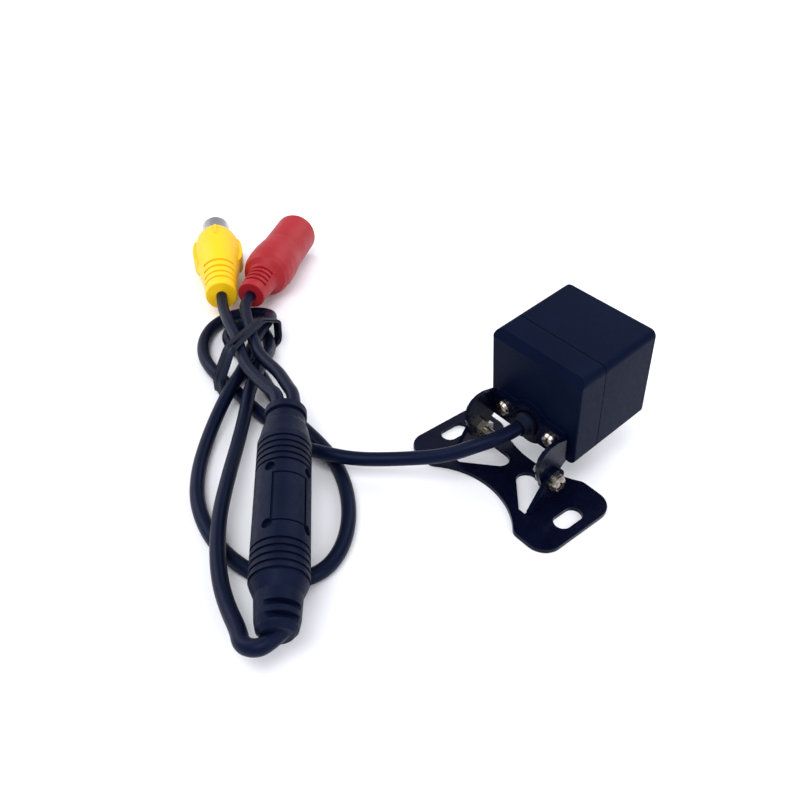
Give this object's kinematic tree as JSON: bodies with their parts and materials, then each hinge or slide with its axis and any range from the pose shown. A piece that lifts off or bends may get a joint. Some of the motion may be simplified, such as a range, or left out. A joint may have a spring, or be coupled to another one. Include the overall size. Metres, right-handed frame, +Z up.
{
  "type": "backup camera",
  "caption": "Small cube camera on a tilting screw-down bracket, with a bundled cord, an in-line filter moulding and short video and power plug leads.",
  "frame": {"origin": "middle of the base plate's underside, half way between its two slots", "axes": "+X along the plate towards the end away from the plugs' tips when seen from the lens; -Y the way the lens looks; +Z up, away from the surface the plate is screwed to"},
  "size_m": [0.153, 0.1026, 0.0354],
  "materials": {
    "case": "fine matte grain, near black with a navy tint",
    "seal": "matte black silicone",
    "bezel": "satin black",
    "glass": "clear, flat and polished",
    "barrel": "dull black",
    "lens": "coated, blue and purple sheen",
    "filter_glass": "coated, faint red sheen",
    "sensor": "glossy die in a black frame",
    "board": "green solder mask",
    "connector": "ivory nylon",
    "chip": "black epoxy",
    "painted_steel": "gloss black enamel",
    "screw": "warm nickel plate, satin",
    "moulding": "satin black soft vinyl",
    "cord": "satin black vinyl jacket",
    "can": "bare can",
    "ferrite": "dark grey sintered ferrite",
    "yellow": "satin yellow vinyl",
    "red": "satin red vinyl",
    "plated": "bright nickel plate",
    "insulator": "black insulating plastic",
    "tie": "satin black ribbon of plastic over wire"
  },
  "bodies": {
    "base": {"base_bracket": "painted_steel", "pivot_screw_left": "screw", "pivot_screw_right": "screw", "spring_washer_left": "screw", "spring_washer_right": "screw", "pivot_nut_left": "screw", "pivot_nut_right": "screw", "module_body": "moulding", "module_collar": "moulding", "filter_board": "board", "regulator_chip": "chip", "filter_capacitor": "can", "filter_coil": "ferrite", "rca_boot": "yellow", "rca_shell": "plated", "rca_insulator": "insulator", "rca_contact": "plated", "dc_boot": "red", "dc_insulator": "insulator", "dc_sleeve": "plated", "dc_pin": "plated", "camera_cord": "cord", "video_lead": "cord", "power_lead": "cord", "cable_tie": "tie"},
    "camera_head": {"front_shell": "case", "rear_cover": "case", "case_seal": "seal", "front_bezel": "bezel", "cover_glass": "glass", "glass_seal": "seal", "lens_barrel": "barrel", "lens_front_element": "lens", "lens_rear_element": "lens", "lens_holder": "barrel", "ir_filter": "filter_glass", "image_sensor": "sensor", "sensor_board": "board", "board_connector": "connector", "power_board": "board", "processor_chip": "chip", "power_inductor": "chip", "wire_socket": "connector", "cable_gland": "seal", "yoke_bracket": "painted_steel", "bracket_screw_left": "screw", "bracket_screw_right": "screw", "camera_cord_stub": "cord"}
  },
  "joints": [
    {"name": "head_tilt", "type": "hinge", "parent": "base", "child": "camera_head", "pos_m": [0, -0.0006, 0.0073], "axis": [1, 0, 0], "range_deg": [-45, 23]}
  ]
}
